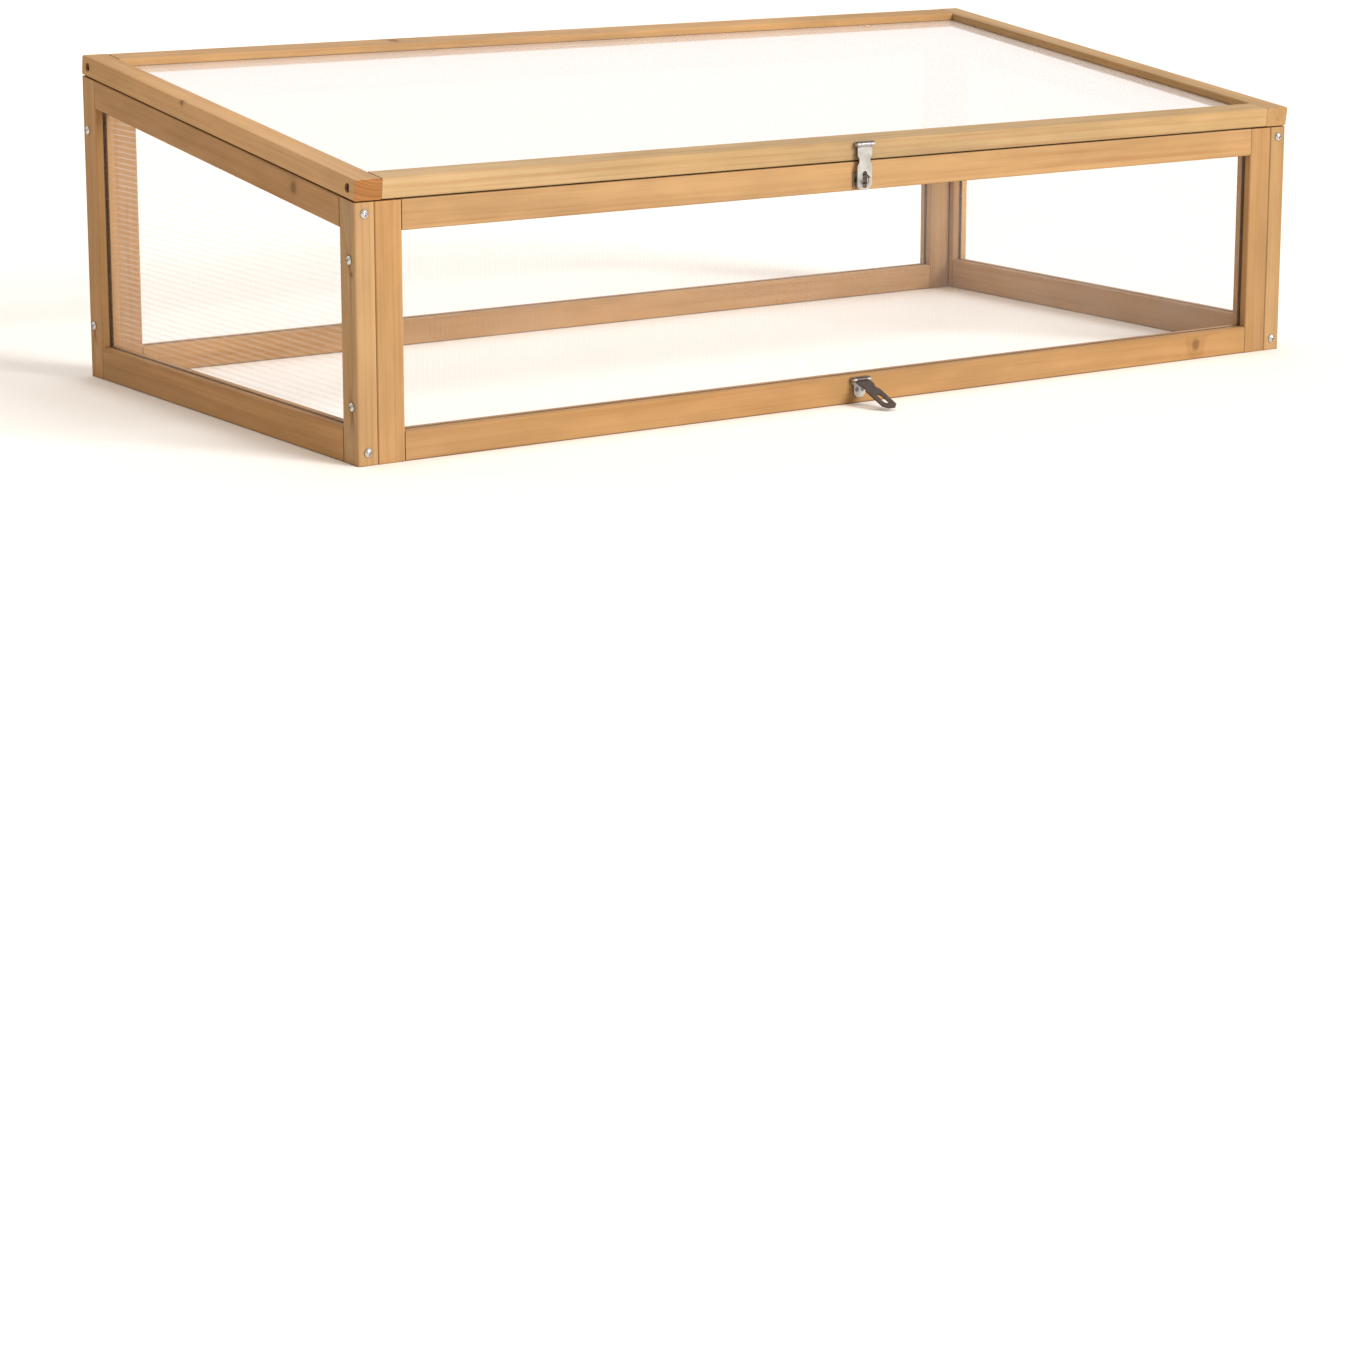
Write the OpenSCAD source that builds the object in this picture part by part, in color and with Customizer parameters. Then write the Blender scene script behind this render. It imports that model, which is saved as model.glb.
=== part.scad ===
// Cold frame: a timber and twin-wall glazed box with a sloping hinged lid, for a raised bed.
// Millimetres. +X runs along the front, +Y goes to the back, +Z is up.
// The origin is the middle of the front bottom rail's underside.

/* [Frame] */
// Width over the side panels
frame_w = 1200; // [1140:10:1600]
// Depth from the front face to the back face
frame_d = 600; // [450:10:900]
// Height of the side panels at the front face
front_h = 255; // [200:5:320]
// Height of the side panels at the back face
rear_h = 329; // [322:1:450]

/* [Timber] */
// Thickness of every frame timber
timber_t = 22; // [20:1:28]
// Width of every frame timber
timber_w = 30; // [28:1:45]
// Height of the bottom rails of the side panels
side_base_h = 35; // [30:1:50]
// Thickness of the lid timbers
lid_t = 21; // [20:1:28]
// Chamfer on the long edges of each timber
ease = 1.2; // [0.5:0.1:2]
// Gap between the closed lid and the frame
lid_gap = 1.2; // [1:0.1:3]

/* [Glazing] */
// Thickness of the twin-wall sheets
sheet_t = 4; // [3:0.5:6]
// Depth of the groove that a sheet sits in
groove_d = 8; // [5:1:10]
// Clearance between a sheet and each side of its groove
groove_fit = 0.3; // [0.2:0.1:1]

/* [Screws] */
// Head diameter of the pan-head screws
head_d = 9; // [7:0.5:10]
// Head height of the pan-head screws
head_h = 2.8; // [2:0.1:3.5]
// Shank diameter of the pan-head screws
shank_d = 4.4; // [3.5:0.1:5]
// Length of the screws through the posts into the side rails
post_screw_l = 60; // [50:1:70]
// Length of the screws through the posts into the front and back panels
corner_screw_l = 42; // [30:1:43]
// Length of the screws through the stiles into the front and back rails
stile_screw_l = 55; // [45:1:65]
// Height of the corner screws above the base and below the top
corner_screw_in = 57; // [45:1:80]

/* [Lid hinges] */
// Distance of each lid hinge from the middle of the frame
hinge_x = 400; // [150:10:500]
// Length of a lid hinge along its pin
hinge_l = 50; // [40:5:80]
// Height of one hinge leaf, from the pin to its edge
hinge_leaf_h = 18; // [16:1:20]

/* [Hasps] */
// Length of the lid hasp's strap, from pin to tip
lid_strap_l = 48; // [48:1:60]
// Length of the base hasp's strap, from pin to tip
base_strap_l = 58; // [50:1:80]
// Length of a hasp along its pin
hasp_w = 22; // [20:1:26]
// Angle that the base hasp's strap stands out from hanging straight down
base_strap_angle = 68; // [40:1:90]

/* [Hidden] */
$fn = 32;

wood = "#d9a770";
wood_side = "#a5784a";
clear = [0.86, 0.92, 0.94, 0.45];
zinc = "#c9c7c2";
steel = "#5b4a47";

left_x = -frame_w / 2;
front_y = -timber_t / 2;
back_y = front_y + frame_d;
slope = atan((rear_h - front_h) / frame_d);
lid_l = frame_d / cos(slope);
big = 2 * (frame_w + frame_d);

plate_t = 1.5;
knuckle_r = 3;
pin_r = 1.5;
pin_fit = 0.06;
knuckle_gap = 0.3;
barrel_off = knuckle_r + 0.4;
wood_screw_d = 2.8;
wood_screw_l = 14;
bore_fit = 0.1;
lid_screw_sink = 4.5;

hinge_y = back_y + barrel_off;
hinge_z = rear_h + lid_gap / 2;

lid_pin_in = 3;
lid_pin_y = front_y - barrel_off * cos(slope) - (lid_t - lid_pin_in) * sin(slope);
lid_pin_z = front_h + lid_gap + (lid_t - lid_pin_in) * cos(slope) - barrel_off * sin(slope);
lid_slot_at = 37;
base_pin_y = front_y - barrel_off;
base_pin_z = 25.5;
slot_w = 6;
slot_l = 18;
base_slot_at = base_strap_l - 17.5;
loop_r = 4.4;
loop_wire_r = 1.4;
loop_reach = 9;

// Height of the frame's sloping top at a given y
function top_z(y) = front_h + (y - front_y) * tan(slope);

// ---- shared shapes ----

// Rectangle with chamfered corners
module eased_rect(a, b) {
    e = ease;
    polygon([[e, 0], [a - e, 0], [a, e], [a, b - e], [a - e, b], [e, b], [0, b - e], [0, e]]);
}

// Timber between two corners, with its long edges eased along x, y or z
module timber(lo, hi, along) {
    s = hi - lo;
    translate(lo) {
        if (along == "x") rotate([90, 0, 90]) linear_extrude(s.x) eased_rect(s.y, s.z);
        if (along == "y") translate([0, s.y, 0]) rotate([90, 0, 0])
            linear_extrude(s.y) eased_rect(s.x, s.z);
        if (along == "z") linear_extrude(s.z) eased_rect(s.x, s.y);
    }
}

// Places children in the plane of the frame's sloping top: y runs up the slope, z is square to it
module on_slope(lift = 0) {
    translate([0, front_y, front_h + lift]) rotate([slope, 0, 0]) children();
}

// Everything above the frame's sloping top
module above_top() {
    on_slope() translate([-big / 2, -big / 4, 0]) cube([big, big, big / 4]);
}

// Places children at every point of a list, each turned so that +Z follows its own direction
module at_sites(sites) {
    for (s = sites) translate(s[0]) rotate(s[1]) children();
}

// Turns +Z to point along +Y, -Y, +X or -X
into_y = [-90, 0, 0];
from_y = [90, 0, 0];
into_x = [0, 90, 0];
from_x = [0, -90, 0];

// Pan-head screw: the head stands on z = 0 and the shank runs along +Z
module pan_screw(length) {
    dome_r = 6;
    cross_w = 1.1;
    cross_l = 4.8;
    cross_d = 1.5;
    difference() {
        union() {
            intersection() {
                translate([0, 0, -head_h]) cylinder(h = head_h, d = head_d);
                translate([0, 0, dome_r - head_h]) sphere(r = dome_r);
            }
            cylinder(h = length - 4, d = shank_d);
            translate([0, 0, length - 4]) cylinder(h = 4, d1 = shank_d, d2 = 1);
        }
        for (turn = [0, 90]) rotate(turn) translate([-cross_l / 2, -cross_w / 2, -head_h - 1])
            cube([cross_l, cross_w, cross_d + 1]);
    }
}

// Pilot hole for a pan-head screw
module pan_hole(length) {
    translate([0, 0, -1]) cylinder(h = length + 2, d = shank_d + 2 * bore_fit);
}

// Countersunk screw whose flat head is flush with z = 0
module flat_screw(length) {
    cross_w = 0.8;
    cross_l = 3;
    difference() {
        union() {
            cylinder(h = 1.4, d1 = 5.6, d2 = wood_screw_d);
            cylinder(h = length, d = wood_screw_d);
        }
        for (turn = [0, 90]) rotate(turn) translate([-cross_l / 2, -cross_w / 2, -1])
            cube([cross_l, cross_w, 1.7]);
    }
}

// Countersunk hole for a flat-head screw
module flat_hole(length) {
    grow = 2 * bore_fit;
    translate([0, 0, -0.01]) cylinder(h = 1.41, d1 = 5.6 + grow, d2 = wood_screw_d + grow);
    cylinder(h = length + 1, d = wood_screw_d + grow);
}

// ---- where the screws go ----

// Through the front and rear posts into the ends of the side panel's rails
function post_sites(side) = [
    for (z = [13, front_h - 11]) [[side * (frame_w - timber_t) / 2, front_y, z], into_y],
    for (z = [13, rear_h - 15]) [[side * (frame_w - timber_t) / 2, back_y, z], from_y]
];

// Through the posts into the stiles of the front and back panels
function corner_sites(side) = [
    for (y = [front_y + timber_t / 2, back_y - timber_t / 2])
        for (z = [corner_screw_in, top_z(y) - corner_screw_in])
            [[side * frame_w / 2, y, z], side < 0 ? into_x : from_x]
];

// Through the stiles of a front or back panel into the ends of its rails
function stile_sites(side, y) = [
    for (z = [timber_w / 2, top_z(y) - timber_w / 2])
        [[side * (frame_w / 2 - timber_t - head_h - 0.2), y, z], side < 0 ? into_x : from_x]
];

// Through the lid's side rails into the ends of its front and rear rails, in the slope's own axes.
// Their heads are sunk below the rails' outer faces.
function lid_sites(side) = [
    for (y = [14, lid_l - 14])
        [[side * (frame_w / 2 - lid_screw_sink), y, lid_t / 2], side < 0 ? into_x : from_x]
];

// ---- side panels ----

// Sheet of a side panel, grown by a clearance
module side_sheet(side, thick = 0, edge = 0) {
    reach = groove_d - 1 + edge;
    y0 = front_y + timber_w - reach;
    y1 = back_y - timber_w + reach;
    z0 = side_base_h - reach;
    drop = timber_w / cos(slope) - reach;
    t = sheet_t + 2 * thick;
    translate([side * (frame_w - timber_t) / 2 - t / 2, 0, 0]) rotate([90, 0, 90]) linear_extrude(t)
        polygon([[y0, z0], [y1, z0], [y1, top_z(y1) - drop], [y0, top_z(y0) - drop]]);
}

module side_post(side, front) {
    x0 = side < 0 ? left_x : -left_x - timber_t;
    y0 = front ? front_y : back_y - timber_w;
    difference() {
        timber([x0, y0, 0], [x0 + timber_t, y0 + timber_w, rear_h + 10], "z");
        above_top();
        side_sheet(side, groove_fit, 1);
        at_sites(post_sites(side)) pan_hole(post_screw_l);
        at_sites(corner_sites(side)) pan_hole(corner_screw_l);
    }
}

module side_bottom_rail(side) {
    x0 = side < 0 ? left_x : -left_x - timber_t;
    difference() {
        timber([x0, front_y + timber_w, 0], [x0 + timber_t, back_y - timber_w, side_base_h], "y");
        side_sheet(side, groove_fit, 1);
        at_sites(post_sites(side)) pan_hole(post_screw_l);
    }
}

module side_top_rail(side) {
    x0 = side < 0 ? left_x : -left_x - timber_t;
    difference() {
        on_slope() timber([x0, 0, -timber_w], [x0 + timber_t, lid_l, 0], "y");
        for (y = [front_y - timber_w, back_y - timber_w])
            translate([x0 - 1, y, 0]) cube([timber_t + 2, 2 * timber_w, 2 * rear_h]);
        side_sheet(side, groove_fit, 1);
        at_sites(post_sites(side)) pan_hole(post_screw_l);
    }
}

// ---- front and back panels ----

// Sheet of the front or back panel, grown by a clearance
module end_sheet(y, thick = 0, edge = 0) {
    reach = groove_d - 1 + edge;
    half = frame_w / 2 - timber_t - timber_w + reach;
    z0 = timber_w - reach;
    z1 = top_z(y) - timber_w + reach;
    t = sheet_t + 2 * thick;
    translate([-half, y - t / 2, z0]) cube([2 * half, t, z1 - z0]);
}

// y is the middle of the panel's thickness
module end_stile(side, y) {
    x0 = side < 0 ? left_x + timber_t : -left_x - timber_t - timber_w;
    difference() {
        timber([x0, y - timber_t / 2, 0], [x0 + timber_w, y + timber_t / 2, rear_h + 10], "z");
        above_top();
        end_sheet(y, groove_fit, 1);
        at_sites(corner_sites(side)) pan_hole(corner_screw_l);
        at_sites(stile_sites(side, y)) {
            pan_hole(stile_screw_l);
            translate([0, 0, -head_h - 1]) cylinder(h = head_h + 1, d = head_d + 0.6);
        }
    }
}

module end_rail(y, z0, z1) {
    half = frame_w / 2 - timber_t - timber_w;
    difference() {
        timber([-half, y - timber_t / 2, z0], [half, y + timber_t / 2, z1], "x");
        above_top();
        end_sheet(y, groove_fit, 1);
        for (side = [-1, 1]) at_sites(stile_sites(side, y)) pan_hole(stile_screw_l);
        children();
    }
}

// ---- lid, drawn flat and then laid on the slope ----

module lid_sheet(thick = 0, edge = 0) {
    reach = groove_d - 1 + edge;
    half = frame_w / 2 - timber_w + reach;
    t = sheet_t + 2 * thick;
    translate([-half, timber_w - reach, (lid_t - t) / 2])
        cube([2 * half, lid_l - 2 * (timber_w - reach), t]);
}

module lid_side_rail(side) {
    x0 = side < 0 ? left_x : -left_x - timber_w;
    on_slope(lid_gap) difference() {
        timber([x0, 0, 0], [x0 + timber_w, lid_l, lid_t], "y");
        lid_sheet(groove_fit, 1);
        at_sites(lid_sites(side)) {
            pan_hole(post_screw_l);
            translate([0, 0, -lid_screw_sink - 1]) cylinder(h = lid_screw_sink + 1, d = head_d + 0.6);
        }
    }
}

module lid_cross_rail(y0) {
    half = frame_w / 2 - timber_w;
    difference() {
        on_slope(lid_gap) difference() {
            timber([-half, y0, 0], [half, y0 + timber_w, lid_t], "x");
            lid_sheet(groove_fit, 1);
            for (side = [-1, 1]) at_sites(lid_sites(side)) pan_hole(post_screw_l);
        }
        children();
    }
}

// ---- hinges ----

// Barrel of one leaf along X: every second knuckle of five, starting at first
module knuckles(first, count, length, play) {
    step = length / count;
    for (i = [first:2:count - 1])
        translate([-length / 2 + i * step + play / 2, 0, 0]) rotate([0, 90, 0])
            cylinder(h = step - play, r = knuckle_r);
}

module pin_bore(length) {
    translate([-length / 2 - 1, 0, 0]) rotate([0, 90, 0]) cylinder(h = length + 2, r = pin_r + pin_fit);
}

// Headed pin along X
module hinge_pin(length) {
    rotate([0, 90, 0]) {
        translate([0, 0, -length / 2]) cylinder(h = length, r = pin_r);
        for (z = [-length / 2 - 1, length / 2]) translate([0, 0, z]) cylinder(h = 1, r = pin_r + 0.7);
    }
}

// One leaf about its pin: the plate lies on the face at y = -off and runs up from the pin
module butt_leaf(first, off) {
    count = 5;
    step = hinge_l / count;
    clear_z = knuckle_r + 0.4;
    difference() {
        union() {
            translate([-hinge_l / 2, -off, clear_z]) cube([hinge_l, plate_t, hinge_leaf_h - clear_z]);
            for (i = [first:2:count - 1]) translate([-hinge_l / 2 + i * step + knuckle_gap / 2, -off, 0])
                cube([step - knuckle_gap, plate_t, clear_z]);
            knuckles(first, count, hinge_l, knuckle_gap);
        }
        pin_bore(hinge_l);
        at_sites(leaf_sites(off)) flat_hole(wood_screw_l);
    }
}

// Screw holes of a butt leaf, in the leaf's own axes
function leaf_sites(off) = [for (x = [-18, 0, 18]) [[x, plate_t - off, hinge_leaf_h / 2 + 2.5], from_y]];

// Distance from the pin to the lid's tilted rear face
lid_face_off = barrel_off * cos(slope) - lid_gap / 2 * sin(slope);

// The lid's leaf lies on the lid's tilted rear face, the frame's leaf on the upright back face
module on_hinge_lid(side) {
    translate([side * hinge_x, hinge_y, hinge_z]) rotate([slope, 0, 0]) children();
}

module on_hinge_frame(side) {
    translate([side * hinge_x, hinge_y, hinge_z]) rotate([0, 180, 0]) children();
}

// ---- hasps ----

// Length of barrel that each of a hasp leaf's two knuckles takes; the strap has the rest
hasp_end_l = hasp_w / 5;

// Barrel along X between two ends, with play at both
module hasp_knuckle(x0, x1) {
    translate([x0 + knuckle_gap / 2, 0, 0]) rotate([0, 90, 0])
        cylinder(h = x1 - x0 - knuckle_gap, r = knuckle_r);
}

// Leaf about its pin: the plate lies on the face at y = barrel_off and hangs below the pin, narrower than it
module hasp_leaf(height) {
    clear_z = knuckle_r + 0.4;
    narrow_z = clear_z + 2.5;
    leaf_w = hasp_w * 0.7;
    corner = 4;
    difference() {
        union() {
            translate([0, barrel_off, 0]) rotate([90, 0, 0]) linear_extrude(plate_t) polygon([
                [-hasp_w / 2, -clear_z], [-leaf_w / 2, -narrow_z], [-leaf_w / 2, corner - height],
                [corner - leaf_w / 2, -height], [leaf_w / 2 - corner, -height],
                [leaf_w / 2, corner - height], [leaf_w / 2, -narrow_z], [hasp_w / 2, -clear_z]
            ]);
            for (x = [-hasp_w / 2, hasp_w / 2 - hasp_end_l]) {
                translate([x + knuckle_gap / 2, barrel_off - plate_t, -clear_z])
                    cube([hasp_end_l - knuckle_gap, plate_t, clear_z]);
                hasp_knuckle(x, x + hasp_end_l);
            }
        }
        pin_bore(hasp_w);
        at_sites(hasp_sites(height)) flat_hole(wood_screw_l);
    }
}

// Screw holes of a hasp leaf, in the leaf's own axes
function hasp_sites(height) = [
    for (x = [-3.7, 3.7]) [[x, barrel_off - plate_t, 0.6 - (knuckle_r + height) / 2], into_y]
];

// Slot with round ends, along Y
module slot() {
    half = (slot_l - slot_w) / 2;
    translate([-slot_w / 2, -half]) square([slot_w, 2 * half]);
    for (end = [-half, half]) translate([0, end]) circle(d = slot_w);
}

// Strap about its pin, hanging straight down: a blade with a waist, and a slot near its cut-off tip
module hasp_strap(length, slot_at) {
    inner = hasp_w / 2 - hasp_end_l;
    clear_z = knuckle_r + 0.4;
    half = hasp_w * 0.42;
    half_waist = hasp_w * 0.32;
    half_tip = hasp_w * 0.2;
    waist_at = 17;
    side = [
        [half, -clear_z], [half, 5 - waist_at], [half_waist, 1.5 - waist_at], [half_waist, -1.5 - waist_at],
        [half, -5 - waist_at], [half, 5 - length], [half_tip, -length]
    ];
    difference() {
        union() {
            translate([0, plate_t / 2, 0]) rotate([90, 0, 0]) linear_extrude(plate_t) difference() {
                polygon([each side, for (i = [len(side) - 1:-1:0]) [-side[i].x, side[i].y]]);
                translate([0, -slot_at]) slot();
            }
            translate([-inner + knuckle_gap / 2, -plate_t / 2, -clear_z])
                cube([2 * inner - knuckle_gap, plate_t, clear_z]);
            hasp_knuckle(-inner, inner);
        }
        pin_bore(hasp_w);
    }
}

lid_leaf_h = lid_t - lid_pin_in - 1.5;
base_leaf_h = 19;

module on_lid_hasp() {
    translate([0, lid_pin_y, lid_pin_z]) rotate([slope, 0, 0]) children();
}

module on_base_hasp() {
    translate([0, base_pin_y, base_pin_z]) children();
}

// Staple on the front panel's top rail: a plate with a loop that stands out through the lid strap's slot
staple_z = lid_pin_z - lid_slot_at;
staple_sites = [for (x = [-7.5, 7.5]) [[x, front_y - plate_t, staple_z], into_y]];

module staple() {
    plate_w = 22;
    plate_h = 15;
    difference() {
        union() {
            translate([-plate_w / 2, front_y - plate_t, staple_z - plate_h / 2])
                cube([plate_w, plate_t, plate_h]);
            for (end = [-1, 1]) translate([0, front_y - plate_t / 2, staple_z + end * loop_r])
                rotate(from_y) cylinder(h = loop_reach, r = loop_wire_r);
            translate([0, front_y - plate_t / 2 - loop_reach, staple_z]) rotate([0, 90, 180])
                rotate_extrude(angle = 180) translate([loop_r, 0]) circle(r = loop_wire_r);
        }
        at_sites(staple_sites) flat_hole(wood_screw_l);
    }
}

// Pilot holes in the timber behind the hasps, the staple and the lid hinges
module staple_pilots() { at_sites(staple_sites) flat_hole(wood_screw_l); }
module base_hasp_pilots() { on_base_hasp() at_sites(hasp_sites(base_leaf_h)) flat_hole(wood_screw_l); }
module lid_hasp_pilots() { on_lid_hasp() at_sites(hasp_sites(lid_leaf_h)) flat_hole(wood_screw_l); }
module frame_leaf_pilots() {
    for (side = [-1, 1]) on_hinge_frame(side) at_sites(leaf_sites(barrel_off)) flat_hole(wood_screw_l);
}
module lid_leaf_pilots() {
    for (side = [-1, 1]) on_hinge_lid(side) at_sites(leaf_sites(lid_face_off)) flat_hole(wood_screw_l);
}

// ---- sub-parts ----

front_mid = front_y + timber_t / 2;
back_mid = back_y - timber_t / 2;

module left_front_post() { color(wood) side_post(-1, true); }
module left_rear_post() { color(wood) side_post(-1, false); }
module left_top_rail() { color(wood_side) side_top_rail(-1); }
module left_bottom_rail() { color(wood_side) side_bottom_rail(-1); }
module left_glazing() { color(clear) side_sheet(-1); }
module right_front_post() { color(wood) side_post(1, true); }
module right_rear_post() { color(wood) side_post(1, false); }
module right_top_rail() { color(wood_side) side_top_rail(1); }
module right_bottom_rail() { color(wood_side) side_bottom_rail(1); }
module right_glazing() { color(clear) side_sheet(1); }

module front_left_stile() { color(wood) end_stile(-1, front_mid); }
module front_right_stile() { color(wood) end_stile(1, front_mid); }
module front_top_rail() {
    color(wood) end_rail(front_mid, front_h - timber_w, front_h + timber_w) staple_pilots();
}
module front_bottom_rail() { color(wood) end_rail(front_mid, 0, timber_w) base_hasp_pilots(); }
module front_glazing() { color(clear) end_sheet(front_mid); }
module back_left_stile() { color(wood) end_stile(-1, back_mid); }
module back_right_stile() { color(wood) end_stile(1, back_mid); }
module back_top_rail() {
    color(wood) end_rail(back_mid, top_z(back_mid) - timber_w, rear_h + timber_w) frame_leaf_pilots();
}
module back_bottom_rail() { color(wood) end_rail(back_mid, 0, timber_w); }
module back_glazing() { color(clear) end_sheet(back_mid); }

module post_screws() {
    color(zinc) for (side = [-1, 1]) at_sites(post_sites(side)) pan_screw(post_screw_l);
}
module corner_screws() {
    color(zinc) for (side = [-1, 1]) at_sites(corner_sites(side)) pan_screw(corner_screw_l);
}
module front_stile_screws() {
    color(zinc) for (side = [-1, 1]) at_sites(stile_sites(side, front_mid)) pan_screw(stile_screw_l);
}
module back_stile_screws() {
    color(zinc) for (side = [-1, 1]) at_sites(stile_sites(side, back_mid)) pan_screw(stile_screw_l);
}

module lid_left_rail() { color(wood) lid_side_rail(-1); }
module lid_right_rail() { color(wood) lid_side_rail(1); }
module lid_front_rail() { color(wood) lid_cross_rail(0) lid_hasp_pilots(); }
module lid_rear_rail() { color(wood) lid_cross_rail(lid_l - timber_w) lid_leaf_pilots(); }
module lid_glazing() { color(clear) on_slope(lid_gap) lid_sheet(); }
module lid_screws() {
    color(zinc) on_slope(lid_gap) for (side = [-1, 1]) at_sites(lid_sites(side)) pan_screw(post_screw_l);
}

module left_hinge_frame_leaf() { color(zinc) on_hinge_frame(-1) butt_leaf(0, barrel_off); }
module left_hinge_lid_leaf() { color(zinc) on_hinge_lid(-1) butt_leaf(1, lid_face_off); }
module left_hinge_pin() { color(zinc) translate([-hinge_x, hinge_y, hinge_z]) hinge_pin(hinge_l); }
module right_hinge_frame_leaf() { color(zinc) on_hinge_frame(1) butt_leaf(0, barrel_off); }
module right_hinge_lid_leaf() { color(zinc) on_hinge_lid(1) butt_leaf(1, lid_face_off); }
module right_hinge_pin() { color(zinc) translate([hinge_x, hinge_y, hinge_z]) hinge_pin(hinge_l); }
module hinge_frame_screws() {
    color(zinc) for (side = [-1, 1]) on_hinge_frame(side)
        at_sites(leaf_sites(barrel_off)) flat_screw(wood_screw_l);
}
module hinge_lid_screws() {
    color(zinc) for (side = [-1, 1]) on_hinge_lid(side)
        at_sites(leaf_sites(lid_face_off)) flat_screw(wood_screw_l);
}

module lid_hasp_leaf() { color(zinc) on_lid_hasp() hasp_leaf(lid_leaf_h); }
module lid_hasp_pin() { color(zinc) translate([0, lid_pin_y, lid_pin_z]) hinge_pin(hasp_w); }
module lid_hasp_strap() {
    color(zinc) translate([0, lid_pin_y, lid_pin_z]) hasp_strap(lid_strap_l, lid_slot_at);
}
module lid_hasp_screws() {
    color(zinc) on_lid_hasp() at_sites(hasp_sites(lid_leaf_h)) flat_screw(wood_screw_l);
}
module hasp_staple() { color(zinc) staple(); }
module staple_screws() { color(zinc) at_sites(staple_sites) flat_screw(wood_screw_l); }

module base_hasp_leaf() { color(zinc) on_base_hasp() hasp_leaf(base_leaf_h); }
module base_hasp_pin() { color(zinc) on_base_hasp() hinge_pin(hasp_w); }
module base_hasp_strap() {
    color(steel) on_base_hasp() rotate([-base_strap_angle, 0, 0]) hasp_strap(base_strap_l, base_slot_at);
}
module base_hasp_screws() {
    color(zinc) on_base_hasp() at_sites(hasp_sites(base_leaf_h)) flat_screw(wood_screw_l);
}

left_front_post();
left_rear_post();
left_top_rail();
left_bottom_rail();
left_glazing();
right_front_post();
right_rear_post();
right_top_rail();
right_bottom_rail();
right_glazing();
front_left_stile();
front_right_stile();
front_top_rail();
front_bottom_rail();
front_glazing();
back_left_stile();
back_right_stile();
back_top_rail();
back_bottom_rail();
back_glazing();
post_screws();
corner_screws();
front_stile_screws();
back_stile_screws();
lid_left_rail();
lid_right_rail();
lid_front_rail();
lid_rear_rail();
lid_glazing();
lid_screws();
left_hinge_frame_leaf();
left_hinge_lid_leaf();
left_hinge_pin();
right_hinge_frame_leaf();
right_hinge_lid_leaf();
right_hinge_pin();
hinge_frame_screws();
hinge_lid_screws();
lid_hasp_leaf();
lid_hasp_pin();
lid_hasp_strap();
lid_hasp_screws();
hasp_staple();
staple_screws();
base_hasp_leaf();
base_hasp_pin();
base_hasp_strap();
base_hasp_screws();
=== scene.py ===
import math
import random

import bmesh
import bpy
from mathutils import Matrix, Vector


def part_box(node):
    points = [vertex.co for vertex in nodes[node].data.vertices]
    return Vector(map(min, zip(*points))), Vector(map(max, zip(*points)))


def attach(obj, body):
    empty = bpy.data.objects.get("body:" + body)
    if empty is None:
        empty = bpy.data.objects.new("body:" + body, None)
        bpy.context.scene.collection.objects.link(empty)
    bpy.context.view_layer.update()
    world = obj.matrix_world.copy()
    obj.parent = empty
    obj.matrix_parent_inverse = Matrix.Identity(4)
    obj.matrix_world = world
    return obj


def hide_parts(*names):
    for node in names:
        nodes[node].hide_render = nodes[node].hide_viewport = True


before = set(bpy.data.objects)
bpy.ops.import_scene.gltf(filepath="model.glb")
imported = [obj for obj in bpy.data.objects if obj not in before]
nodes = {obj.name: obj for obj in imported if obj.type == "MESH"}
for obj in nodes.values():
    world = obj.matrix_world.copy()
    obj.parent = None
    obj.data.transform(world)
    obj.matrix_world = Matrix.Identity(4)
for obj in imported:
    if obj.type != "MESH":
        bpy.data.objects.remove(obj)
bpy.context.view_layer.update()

# ---- driving dimensions, in metres, as in the CAD ----

MM = 0.001
FRAME_W = 1200 * MM
FRAME_D = 600 * MM
FRONT_H = 255 * MM
REAR_H = 329 * MM
TIMBER_T = 22 * MM
TIMBER_W = 30 * MM
SIDE_BASE_H = 35 * MM
LID_T = 21 * MM
LID_GAP = 1.2 * MM
SHEET_T = 4 * MM
SHEET_REACH = 7 * MM
FLUTE = 6 * MM
FRONT_Y = -TIMBER_T / 2
BACK_Y = FRONT_Y + FRAME_D
SLOPE = math.atan((REAR_H - FRONT_H) / FRAME_D)
LID_L = FRAME_D / math.cos(SLOPE)
LID_PLANE = Matrix.Translation((0, FRONT_Y, FRONT_H + LID_GAP)) @ Matrix.Rotation(SLOPE, 4, "X")


def top_z(y):
    """Height of the frame's sloping top at a given y."""
    return FRONT_H + (y - FRONT_Y) * math.tan(SLOPE)


# ---- building materials from nodes ----

# Parts of a noise's range that a smooth step spreads out
MIDDLE = (0.3, 0.7)
WIDE = (0.25, 0.75)
OCCLUSION_SAMPLES = 6


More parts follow.
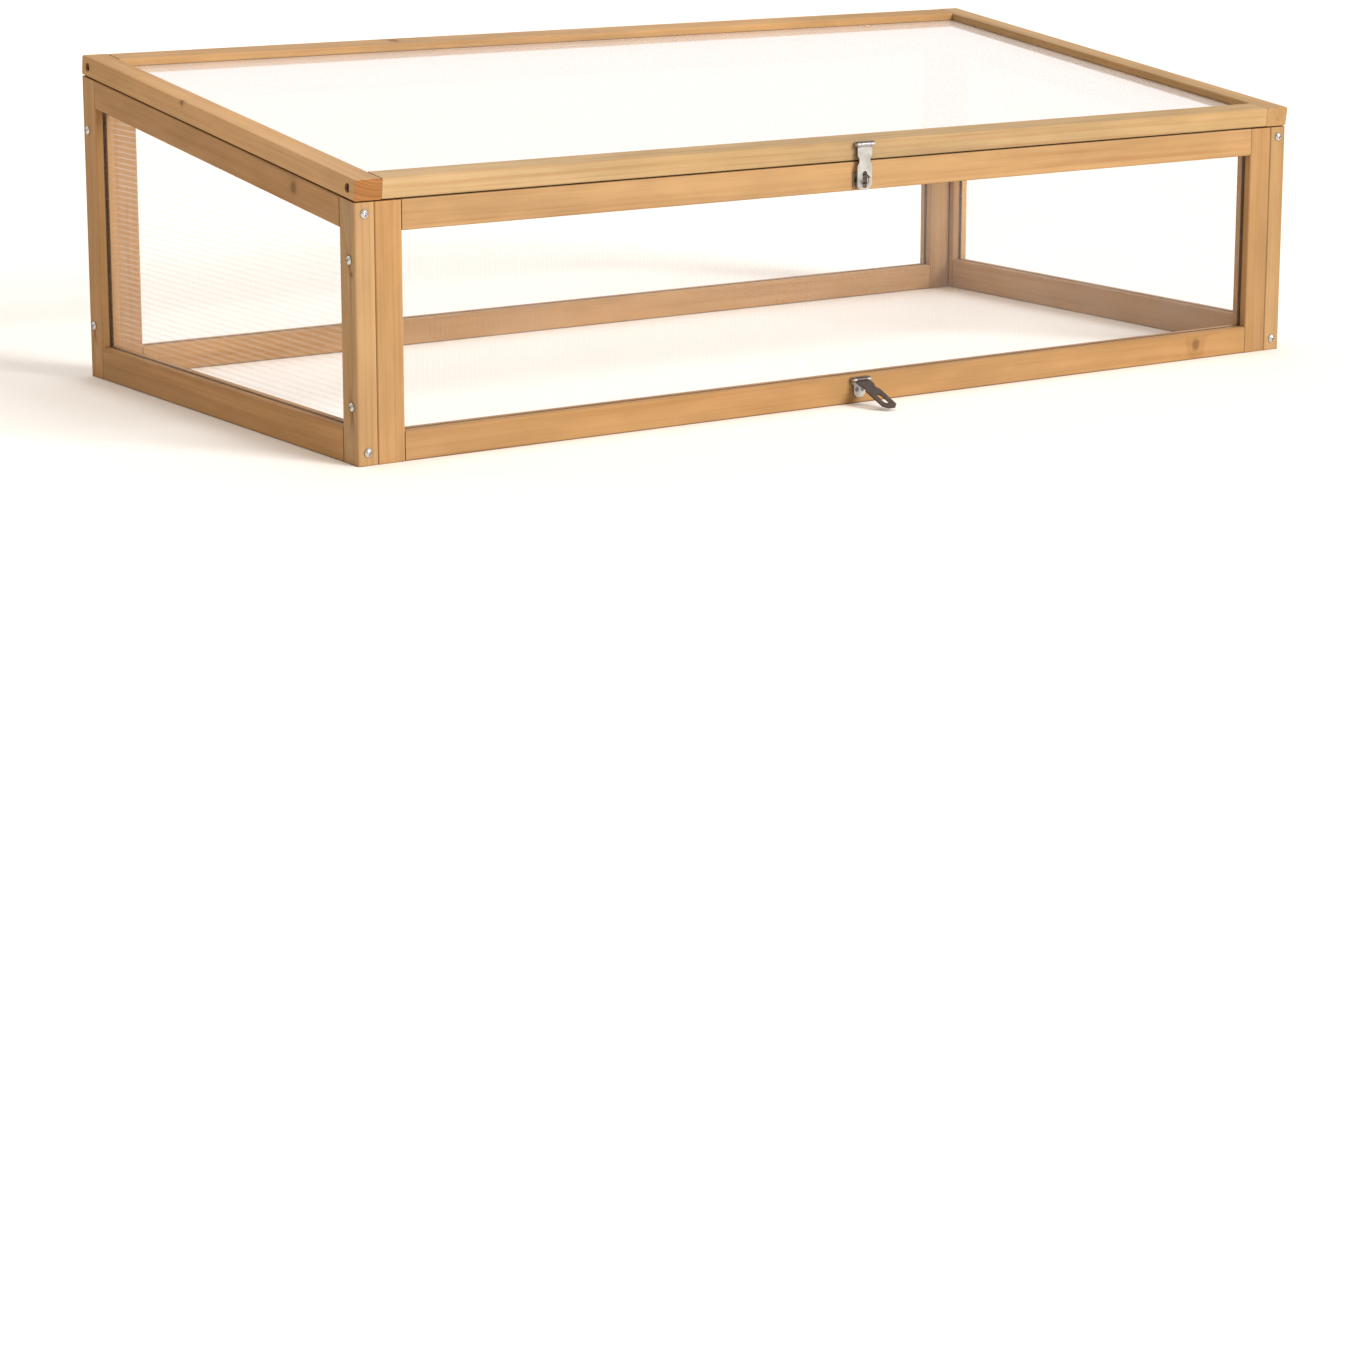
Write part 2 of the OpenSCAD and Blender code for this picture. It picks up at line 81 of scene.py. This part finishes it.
class Shader:
    """The empty node tree of a material or a world, and short calls that add nodes to it."""

    def __init__(self, owner):
        owner.use_nodes = True
        self.owner = owner
        self.tree = owner.node_tree
        self.tree.nodes.clear()

    def node(self, kind, sockets=(), **settings):
        made = self.tree.nodes.new("ShaderNode" + kind)
        for key, value in settings.items():
            setattr(made, key, value)
        for key, value in dict(sockets).items():
            self.put(made.inputs[key], value)
        return made

    def put(self, socket, value):
        if isinstance(value, bpy.types.NodeSocket):
            self.tree.links.new(value, socket)
        else:
            socket.default_value = value

    def math(self, operation, a, b=0.0, clamp=False):
        return self.node("Math", {0: a, 1: b}, operation=operation, use_clamp=clamp).outputs[0]

    def vector(self, operation, a, b=(0, 0, 0), scale=1.0):
        made = self.node("VectorMath", {0: a, 1: b, 3: scale}, operation=operation)
        return made.outputs["Value" if operation in ("LENGTH", "DOT_PRODUCT", "DISTANCE") else "Vector"]

    def split(self, vector):
        return self.node("SeparateXYZ", {0: vector}).outputs

    def join(self, x, y, z=0.0):
        return self.node("CombineXYZ", {0: x, 1: y, 2: z}).outputs[0]

    def noise(self, vector, scale=1.0, detail=2.0, roughness=0.5):
        sockets = {"Vector": vector, "Scale": scale, "Detail": detail, "Roughness": roughness}
        return self.node("TexNoise", sockets).outputs[0]

    def smooth(self, value, low, high, to_low=0.0, to_high=1.0):
        sockets = {0: value, 1: low, 2: high, 3: to_low, 4: to_high}
        return self.node("MapRange", sockets, interpolation_type="SMOOTHSTEP").outputs[0]

    def mix(self, factor, a, b, blend="MIX"):
        made = self.node("Mix", {"Factor": factor}, data_type="RGBA", blend_type=blend)
        self.put(made.inputs[6], a)
        self.put(made.inputs[7], b)
        return made.outputs[2]

    def times(self, color, red, green, blue):
        """A colour with each channel multiplied by its own factor."""
        factors = self.node("CombineColor", {0: red, 1: green, 2: blue}).outputs[0]
        return self.mix(1.0, color, factors, "MULTIPLY")

    def openness(self, reach):
        """1 on an open surface, falling towards 0 in joints and slots narrower than the reach."""
        sockets = {"Distance": reach}
        return self.node("AmbientOcclusion", sockets, samples=OCCLUSION_SAMPLES).outputs["AO"]

    def bump(self, strength, distance, height):
        sockets = {"Strength": strength, "Distance": distance, "Height": height}
        return self.node("Bump", sockets).outputs[0]

    def surface(self, **sockets):
        names = {key.replace("_", " "): value for key, value in sockets.items()}
        shader = self.node("BsdfPrincipled", names)
        self.node("OutputMaterial", {"Surface": shader.outputs[0]})
        return self.owner


def rgb(red, green, blue):
    return (red, green, blue, 1.0)


def scaled(color, factor):
    return rgb(*[channel * factor for channel in color[:3]])


# ---- timber ----

WOOD_LIGHT = rgb(0.418, 0.243, 0.106)
WOOD_DARK = rgb(0.270, 0.124, 0.042)
WOOD_END = rgb(0.260, 0.112, 0.034)
WOOD_KNOT = rgb(0.105, 0.040, 0.013)
WOOD_SPECULAR = 0.12
WOOD_ROUGHNESS = (0.52, 0.66)

# Noises of the grain: scale across it and along it, per metre, and a shift that keeps them apart
WANDER = (11, 1.7, 0)
FIBRE = (760, 11, 0)
STREAK = (150, 2.6, 7)
BROAD = (16, 2.0, 13)
BLOTCH = (48, 16, 21)
HUE = (13, 1.6, 29)
SHIFT_RANGE = (-50, 50)

# Growth rings, and how far their pith lies from the board's middle, in millimetres
RING_SPACING = 3.2 * MM
RING_BAND = (0.40, 0.74)
PITH_AWAY = (22, 60)
WANDER_BY = 16 * MM

# How dark each part of the grain gets, and from which part of its noise
RING_DEPTH = 0.18
STREAK_BAND, STREAK_DEPTH = (0.42, 0.85), 0.36
FIBRE_BAND, FIBRE_DEPTH = (0.46, 0.85), 0.30
FIBRE_HEIGHT, RING_HEIGHT = 0.7, -0.3
GRAIN_BUMP, GRAIN_DEPTH = 0.35, 0.15 * MM

# Slow changes of brightness and hue along a board
BROAD_LEVELS = (0.87, 1.12)
BLOTCH_LEVELS = (-0.05, 0.05)
GREEN_LEVELS = (0.965, 1.035)
BLUE_LEVELS = (0.88, 1.12)

# End cuts: from which lean of the surface, their rings, and how far some of them show
END_LEAN = (0.55, 0.85)
END_RINGS = (0.40, 0.62)
END_PALE, END_DARK = 1.25, 0.90
END_SHOW = {"lid_right_rail": 0.15}

# Knots, in knot sizes from their middle: the rings pushed aside, the dark core and the shaded halo
KNOT_PUSH, KNOT_PUSH_REACH = 1.1, 3.2
KNOT_RAGGED = 0.25
KNOT_CORE, KNOT_CORE_DEPTH = (0.55, 1.15), 0.62
KNOT_HALO, KNOT_HALO_DEPTH, KNOT_HALO_TONE = (0.9, 2.4), 0.25, 0.8

# Painted shade in joints and grooves: how far the occlusion looks, over which part of it, and how dark
SEAM_REACH = 2.2 * MM
SEAM_BAND = (0.25, 0.95)
SEAM_PAINTED_SHADE = 0.50


def wood(name, along, seed, tone, yellow, slope, knots):
    """Stained softwood with its grain along one axis of the piece; slope tips that axis up from +Y."""
    draw = random.Random(seed)
    s = Shader(bpy.data.materials.new(name))
    coords = s.node("TexCoord")
    place, normal = coords.outputs["Object"], coords.outputs["Normal"]
    if slope:
        level_out = {"Axis": (1, 0, 0), "Angle": -slope}
        place = s.node("VectorRotate", {"Vector": place, **level_out}).outputs[0]
        normal = s.node("VectorRotate", {"Vector": normal, **level_out}).outputs[0]
    order = {"x": "YZX", "y": "XZY", "z": "XYZ"}[along]
    split = s.split(place)
    u, v, w = [split[axis] for axis in order]
    shift = Vector([draw.uniform(*SHIFT_RANGE) for _ in range(3)])

    def stretched(across, lengthways, extra):
        """The grain's own coordinates, scaled and shifted, for a noise."""
        made = s.join(s.math("MULTIPLY", u, across), s.math("MULTIPLY", v, across),
                      s.math("MULTIPLY", w, lengthways))
        return s.vector("ADD", made, tuple(shift + Vector((extra, extra, extra))))

    # Growth rings round a pith that lies outside the board and wanders a little along it
    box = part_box(name)
    centre = [sum(corner["XYZ".index(axis)] for corner in box) / 2 for axis in order]
    bearing = draw.uniform(0, 2 * math.pi)
    away = draw.uniform(*PITH_AWAY) * MM
    pith = (centre[0] + away * math.cos(bearing), centre[1] + away * math.sin(bearing))
    wander = s.node("TexNoise", {"Vector": stretched(*WANDER), "Scale": 1.0, "Detail": 2.0}).outputs["Color"]
    wander = s.vector("SCALE", s.vector("SUBTRACT", wander, (0.5, 0.5, 0.5)), scale=WANDER_BY)
    flat = s.join(s.math("SUBTRACT", u, pith[0]), s.math("SUBTRACT", v, pith[1]))
    from_pith = s.split(s.vector("ADD", flat, wander))
    radius = s.vector("LENGTH", s.join(from_pith[0], from_pith[1]))
    for spot, size in knots:
        near = s.vector("DISTANCE", coords.outputs["Object"], tuple(spot))
        radius = s.math("ADD", radius, s.smooth(near, 0, size * KNOT_PUSH_REACH, size * KNOT_PUSH, 0))
    turns = s.math("MULTIPLY", radius, 1 / RING_SPACING)
    ring_sockets = {"W": turns, "Scale": 1.0, "Detail": 1.5, "Roughness": 0.45}
    ring_noise = s.node("TexNoise", ring_sockets, noise_dimensions="1D").outputs[0]
    ring = s.smooth(ring_noise, *RING_BAND)

    fibre = s.noise(stretched(*FIBRE), detail=3.0, roughness=0.55)
    streak = s.noise(stretched(*STREAK))
    broad = s.noise(stretched(*BROAD))
    blotch = s.noise(stretched(*BLOTCH))
    hue = s.noise(stretched(*HUE))

    red, green, blue = WOOD_LIGHT[:3]
    light = rgb(red * tone, green * tone * (1 + yellow), blue * tone * (1 + 2 * yellow))
    grain = s.math("MULTIPLY", ring, RING_DEPTH)
    grain = s.math("ADD", grain, s.smooth(streak, *STREAK_BAND, 0, STREAK_DEPTH))
    grain = s.math("ADD", grain, s.smooth(fibre, *FIBRE_BAND, 0, FIBRE_DEPTH), clamp=True)
    color = s.mix(grain, light, scaled(WOOD_DARK, tone))
    level = s.math("ADD", s.smooth(broad, *WIDE, *BROAD_LEVELS), s.smooth(blotch, *MIDDLE, *BLOTCH_LEVELS))
    color = s.times(color, level, s.math("MULTIPLY", level, s.smooth(hue, *WIDE, *GREEN_LEVELS)),
                    s.math("MULTIPLY", level, s.smooth(hue, *WIDE, *BLUE_LEVELS)))

    lean = s.math("ABSOLUTE", s.split(normal)[order[2]])
    end_color = s.mix(s.smooth(ring_noise, *END_RINGS), scaled(WOOD_END, END_PALE * tone),
                      scaled(WOOD_END, END_DARK * tone))
    color = s.mix(s.smooth(lean, *END_LEAN, 0, END_SHOW.get(name, 1)), color, end_color)
    for spot, size in knots:
        core = [size * edge for edge in KNOT_CORE]
        halo = [size * edge for edge in KNOT_HALO]
        ragged = KNOT_RAGGED * size
        near = s.vector("DISTANCE", coords.outputs["Object"], tuple(spot))
        near = s.math("ADD", near, s.smooth(blotch, *MIDDLE, -ragged, ragged))
        halo_color = scaled(WOOD_DARK, tone * KNOT_HALO_TONE)
        color = s.mix(s.smooth(near, *core, KNOT_CORE_DEPTH, 0), color, WOOD_KNOT)
        color = s.mix(s.smooth(near, *halo, KNOT_HALO_DEPTH, 0), color, halo_color)

    # Painted shade: darker in the joints and along the grooves, where the ambient occlusion finds them
    # closed in
    shade = s.smooth(s.openness(SEAM_REACH), *SEAM_BAND, SEAM_PAINTED_SHADE, 1)
    color = s.times(color, shade, shade, shade)

    height = s.math("ADD", s.math("MULTIPLY", fibre, FIBRE_HEIGHT), s.math("MULTIPLY", ring, RING_HEIGHT))
    return s.surface(Base_Color=color, Roughness=s.smooth(fibre, *MIDDLE, *WOOD_ROUGHNESS),
                     Specular_IOR_Level=WOOD_SPECULAR, Normal=s.bump(GRAIN_BUMP, GRAIN_DEPTH, height))


# Piece: grain axis, seed, tone, how yellow, knots as ((x, y, z), size) in millimetres
TIMBERS = {
    "left_front_post": ("z", 11, 1.03, 0.05, [((-600, -3, 186), 3)]),
    "left_rear_post": ("z", 12, 0.98, 0.00, ()),
    "left_top_rail": ("y", 13, 0.97, -0.03, [((-600, 110, 257), 6)]),
    "left_bottom_rail": ("y", 14, 0.95, -0.02, ()),
    "right_front_post": ("z", 15, 0.98, 0.08, ()),
    "right_rear_post": ("z", 16, 0.98, 0.00, ()),
    "right_top_rail": ("y", 17, 0.98, 0.00, ()),
    "right_bottom_rail": ("y", 18, 0.98, 0.00, ()),
    "front_left_stile": ("z", 19, 0.98, 0.00, ()),
    "front_right_stile": ("z", 20, 0.91, 0.00, ()),
    "front_top_rail": ("x", 21, 1.01, 0.03, ()),
    "front_bottom_rail": ("x", 22, 0.98, 0.00, [((474, -11, 16), 7)]),
    "back_left_stile": ("z", 23, 0.87, -0.02, ()),
    "back_right_stile": ("z", 24, 1.00, 0.02, ()),
    "back_top_rail": ("x", 25, 0.98, 0.00, [((210, 589, 312), 6)]),
    "back_bottom_rail": ("x", 26, 1.00, 0.00, [((-330, 589, 14), 5)]),
    "lid_left_rail": ("y", 27, 1.09, 0.02, [((-600, 349, 320), 4)]),
    "lid_right_rail": ("y", 28, 1.02, 0.09, [((600, 180, 290), 5)]),
    "lid_front_rail": ("x", 29, 1.05, 0.17, ()),
    "lid_rear_rail": ("x", 30, 1.04, 0.03, [((-223, 574, 349), 6)]),
}
SLOPING = [name for name in TIMBERS if "lid" in name or name in ("left_top_rail", "right_top_rail")]
EASE = 1.2 * MM
CORNER_REACH = EASE + 0.1 * MM
EDGE = 0.5 * MM
EDGE_SEGMENTS = 2
WELD_REACH = 0.001 * MM
FLAT_ANGLE = math.radians(1)


def arris_group(piece, along, slope):
    """Vertex group of the corners of a timber's cross-section, the ends of its long edges."""
    turn = Matrix.Rotation(-slope, 3, "X")
    across = [i for i, axis in enumerate("xyz") if axis != along]
    spots = [turn @ vertex.co for vertex in piece.data.vertices]
    low = [min(spot[i] for spot in spots) for i in range(3)]
    high = [max(spot[i] for spot in spots) for i in range(3)]
    group = piece.vertex_groups.new(name="arrises")
    corner = [index for index, spot in enumerate(spots)
              if all(min(spot[i] - low[i], high[i] - spot[i]) < CORNER_REACH for i in across)]
    group.add(corner, 1.0, "REPLACE")
    return group.name


def soften(piece, along, slope):
    """Round the edges between a timber's outer corners, and leave its grooves and holes sharp."""
    weld = piece.modifiers.new("weld", "WELD")
    weld.merge_threshold = WELD_REACH
    flat = piece.modifiers.new("flat", "DECIMATE")
    flat.decimate_type = "DISSOLVE"
    flat.angle_limit = FLAT_ANGLE
    bevel = piece.modifiers.new("soften", "BEVEL")
    bevel.width = EDGE
    bevel.segments = EDGE_SEGMENTS
    bevel.limit_method = "VGROUP"
    bevel.vertex_group = arris_group(piece, along, slope)


for name, (along, seed, tone, yellow, knots) in TIMBERS.items():
    piece = nodes[name]
    slope = SLOPE if name in SLOPING else 0
    knots = [(Vector(spot) * MM, size * MM) for spot, size in knots]
    piece.data.materials.clear()
    piece.data.materials.append(wood(name, along, seed, tone, yellow, slope, knots))
    soften(piece, along, slope)


# ---- metal ----

CLOUD_SCALE = 90
FINE_SCALE = 1400
CLOUD_TONES = (0.90, 1.06)
FINE_ROUGHNESS = (-0.04, 0.04)
METAL_BUMP, METAL_DEPTH = 0.25, 0.05 * MM
# Painted shade in slots, between knuckles and on what faces up: occlusion reach, band and depth, and which
# lean of a face counts as up
METAL_SEAM = 1.2 * MM
METAL_SEAM_BAND = (0.35, 0.90)
METAL_SEAM_PAINTED_SHADE = 0.25
FACING_UP = (0.10, 0.45)


def metal(name, color, roughness, spread, scratch=0.0, dust_and_shade=0.0):
    """Plated steel; spread is of the roughness, scratch adds cloudy bump, and the last argument darkens what
    faces up with dust and painted shade.
    """
    s = Shader(bpy.data.materials.new(name))
    coords = s.node("TexCoord")
    place = coords.outputs["Object"]
    cloud = s.noise(place, CLOUD_SCALE, 3.0, 0.55)
    fine = s.noise(place, FINE_SCALE)
    tint = s.mix(s.smooth(cloud, *MIDDLE), *[scaled(color, tone) for tone in CLOUD_TONES])
    level = s.math("ADD", s.smooth(cloud, *MIDDLE, roughness - spread, roughness + spread),
                   s.smooth(fine, *MIDDLE, *FINE_ROUGHNESS))
    height = s.math("ADD", fine, s.math("MULTIPLY", cloud, scratch))

    # Painted shade where pieces meet, in slots and between knuckles, and dust with painted shade on what
    # faces up, dimming the highlight there
    shade = s.smooth(s.openness(METAL_SEAM), *METAL_SEAM_BAND, METAL_SEAM_PAINTED_SHADE, 1)
    upward = s.split(coords.outputs["Normal"])["Z"]
    shade = s.math("MULTIPLY", shade, s.smooth(upward, *FACING_UP, 1, 1 - dust_and_shade))
    return s.surface(Base_Color=s.times(tint, shade, shade, shade), Metallic=1.0, Roughness=level,
                     Normal=s.bump(METAL_BUMP, METAL_DEPTH, height))


ZINC = metal("bright_zinc", rgb(0.46, 0.45, 0.43), roughness=0.42, spread=0.07, dust_and_shade=0.72)
SCREW = metal("screw_zinc", rgb(0.60, 0.60, 0.60), roughness=0.30, spread=0.06)
FLAT_SCREW = metal("dark_screw", rgb(0.22, 0.22, 0.24), roughness=0.34, spread=0.06)
# Painted reflection: the base strap is plated like the other hasp, and its dark colour stands in for the
# dark surroundings it mirrors
STRAP_PAINTED_DARK = metal("strap_zinc_painted_dark", rgb(0.105, 0.078, 0.070), roughness=0.42, spread=0.08, scratch=1.5, dust_and_shade=0.1)
SMALL_SCREWS = ("hasp", "hinge", "staple")

for name, piece in nodes.items():
    if name in TIMBERS or "glazing" in name:
        continue
    finish = ZINC
    if name == "base_hasp_strap":
        finish = STRAP_PAINTED_DARK
    elif "screws" in name:
        finish = FLAT_SCREW if any(word in name for word in SMALL_SCREWS) else SCREW
    piece.data.materials.clear()
    piece.data.materials.append(finish)


# ---- glazing ----

GLAZING_TINT = rgb(0.92, 0.85, 0.82)
GLAZING_ROUGHNESS = 0.06
GLAZING_METALLIC = 0.50
GLAZING_CLOUD = 14
VEIL_LEVELS = (0.020, 0.036)
WEB_BAND = (0.25 * MM, 1.1 * MM)
SHEEN_RAMP = 0.19
SHEEN = 0.80
GROOVE_DEPTH = 0.15 * MM
GROOVE_HALF = 0.5 * MM
PLAIN_EDGE = 1 * MM
CLEARANCE = 0.01 * MM


def haze(name, across, web_veil, sheen_from):
    """Twin-wall sheet: clear, a little milky, more so at each web and at a flat angle."""
    s = Shader(bpy.data.materials.new(name))
    place = s.node("TexCoord").outputs["Object"]
    web = s.math("PINGPONG", s.split(place)[across], FLUTE / 2)
    web = s.smooth(web, *WEB_BAND, 1, 0)
    cloud = s.noise(place, GLAZING_CLOUD)
    facing = s.node("LayerWeight", {"Blend": 0.5}).outputs["Facing"]
    veil = s.math("ADD", s.smooth(cloud, *MIDDLE, *VEIL_LEVELS), s.math("MULTIPLY", web, web_veil))
    sheen = s.smooth(facing, sheen_from, sheen_from + SHEEN_RAMP, 0, SHEEN)
    return s.surface(Base_Color=GLAZING_TINT, Roughness=GLAZING_ROUGHNESS, Metallic=GLAZING_METALLIC,
                     Alpha=s.math("ADD", veil, sheen, clamp=True))


def sheet(name, body, levels, start, stop, place, material):
    """Closed sheet with a fine groove over every web. levels run across the flutes; start(level) and
    stop(level) are the ends of the flutes; place turns (across, along, thickness) into the frame."""
    half = SHEET_T / 2
    rows = [(levels[0], half)]
    first = math.ceil((levels[0] + PLAIN_EDGE) / FLUTE)
    last = math.floor((levels[1] - PLAIN_EDGE) / FLUTE)
    for i in range(first, last + 1):
        web = i * FLUTE
        rows += [(web - GROOVE_HALF, half), (web, half - GROOVE_DEPTH), (web + GROOVE_HALF, half)]
    rows.append((levels[1], half))
    mesh = bmesh.new()
    rings = []
    for level, thick in rows:
        low, high = start(level), stop(level)
        corners = [(low, -thick), (high, -thick), (high, thick), (low, thick)]
        rings.append([mesh.verts.new(place(level, along, t)) for along, t in corners])
    for a, b in zip(rings, rings[1:]):
        for i in range(4):
            j = (i + 1) % 4
            mesh.faces.new((a[i], a[j], b[j], b[i]))
    mesh.faces.new(rings[0])
    mesh.faces.new(rings[-1])
    bmesh.ops.recalc_face_normals(mesh, faces=mesh.faces)
    data = bpy.data.meshes.new(name)
    mesh.to_mesh(data)
    mesh.free()
    data.materials.append(material)
    piece = bpy.data.objects.new(name, data)
    bpy.context.scene.collection.objects.link(piece)
    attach(piece, body)
    return piece


side_haze = haze("side_haze", "Z", web_veil=0.12, sheen_from=0.56)
end_haze = haze("end_haze", "X", web_veil=0.06, sheen_from=0.50)

# Side sheets: level flutes, cut off along the slope
near = FRONT_Y + TIMBER_W - SHEET_REACH
far = BACK_Y - TIMBER_W + SHEET_REACH
drop = TIMBER_W / math.cos(SLOPE) - SHEET_REACH
side_levels = (SIDE_BASE_H - SHEET_REACH, top_z(far) - drop - CLEARANCE)


def side_start(z):
    """Where a level flute starts: at the front post, or further back under the sloping rail."""
    return max(near, FRONT_Y + (z + drop - FRONT_H) / math.tan(SLOPE))


for side, label in ((-1, "left"), (1, "right")):
    x = side * (FRAME_W - TIMBER_T) / 2
    piece = sheet(f"{label}_twinwall", "frame", side_levels, side_start, lambda z: far,
                  lambda z, y, t, x=x: (x + t, y, z), side_haze)
    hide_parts(f"{label}_glazing")

# Front and back sheets: upright flutes
half_w = FRAME_W / 2 - TIMBER_T - TIMBER_W + SHEET_REACH
foot = TIMBER_W - SHEET_REACH
for label, y in (("front", FRONT_Y + TIMBER_T / 2), ("back", BACK_Y - TIMBER_T / 2)):
    piece = sheet(f"{label}_twinwall", "frame", (-half_w, half_w), lambda x: foot,
                  lambda x, y=y: top_z(y) - TIMBER_W + SHEET_REACH,
                  lambda x, z, t, y=y: (x, y + t, z), end_haze)
    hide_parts(f"{label}_glazing")

# Lid sheet: flutes down the slope
half_lid = FRAME_W / 2 - TIMBER_W + SHEET_REACH
edge = TIMBER_W - SHEET_REACH
piece = sheet("lid_twinwall", "lid", (-half_lid, half_lid), lambda x: edge, lambda x: LID_L - edge,
              lambda x, y, t: LID_PLANE @ Vector((x, y, LID_T / 2 + t)), end_haze)
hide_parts("lid_glazing")

# ---- floor, light and camera ----

FLOOR_SIZE = 80.0
FLOOR_TINT = rgb(0.94, 0.91, 0.88)
FLOOR_ROUGHNESS = 0.9

half = FLOOR_SIZE / 2
corners = [(-half, -half, 0), (half, -half, 0), (half, half, 0), (-half, half, 0)]
floor_mesh = bpy.data.meshes.new("floor")
floor_mesh.from_pydata(corners, [], [(0, 1, 2, 3)])
floor = bpy.data.objects.new("floor", floor_mesh)
bpy.context.scene.collection.objects.link(floor)
paint = Shader(bpy.data.materials.new("pale_floor"))
floor_mesh.materials.append(paint.surface(Base_Color=FLOOR_TINT, Roughness=FLOOR_ROUGHNESS))

# One wide, soft key light, from the front and right
KEY_FROM = Vector((0.36, -0.82, 0.44))
KEY_STRENGTH = 3.3
KEY_SPREAD = math.radians(26)
key_light = bpy.data.lights.new("key", "SUN")
key_light.energy = KEY_STRENGTH
key_light.angle = KEY_SPREAD
key = bpy.data.objects.new("key", key_light)
key.rotation_mode = "QUATERNION"
key.rotation_quaternion = KEY_FROM.to_track_quat("Z", "Y")
bpy.context.scene.collection.objects.link(key)

# Plain sky, white behind and above, dimmer and warmer to the front and left
SKY_LOW = 0.56
SKY_HIGH = 1.06
SKY_WARM = rgb(1.0, 0.80, 0.56)
SKY_WHITE = rgb(1.0, 1.0, 1.0)
SKY_TOWARDS = Vector((0.35, 0.80, 0.50)).normalized()
SKY_FROM, SKY_TO = -0.35, 0.75
world = bpy.data.worlds.new("studio")
sky = Shader(world)
direction = sky.node("TexCoord").outputs["Generated"]
lit = sky.smooth(sky.vector("DOT_PRODUCT", direction, SKY_TOWARDS), SKY_FROM, SKY_TO)
strength = sky.node("MapRange", {0: lit, 3: SKY_LOW, 4: SKY_HIGH}).outputs[0]
backdrop = sky.node("Background", {"Color": sky.mix(lit, SKY_WARM, SKY_WHITE), "Strength": strength})
sky.node("OutputWorld", {"Surface": backdrop.outputs[0]})
bpy.context.scene.world = world
bpy.context.scene.view_settings.view_transform = "Standard"

CAMERA_AT = Vector((-2.2126, -2.9373, 0.6886))
CAMERA_YAW = 34.07
CAMERA_PITCH = 11.73
LENS = 94.4
SENSOR_W = 36
SHIFT_Y = -0.152
FARTHEST = 200
camera_data = bpy.data.cameras.new("camera")
camera_data.lens = LENS
camera_data.sensor_width = SENSOR_W
camera_data.shift_y = SHIFT_Y
camera_data.clip_end = FARTHEST
camera = bpy.data.objects.new("camera", camera_data)
camera.location = CAMERA_AT
camera.rotation_euler = (math.radians(90 - CAMERA_PITCH), 0, math.radians(-CAMERA_YAW))
bpy.context.scene.collection.objects.link(camera)
bpy.context.scene.camera = camera
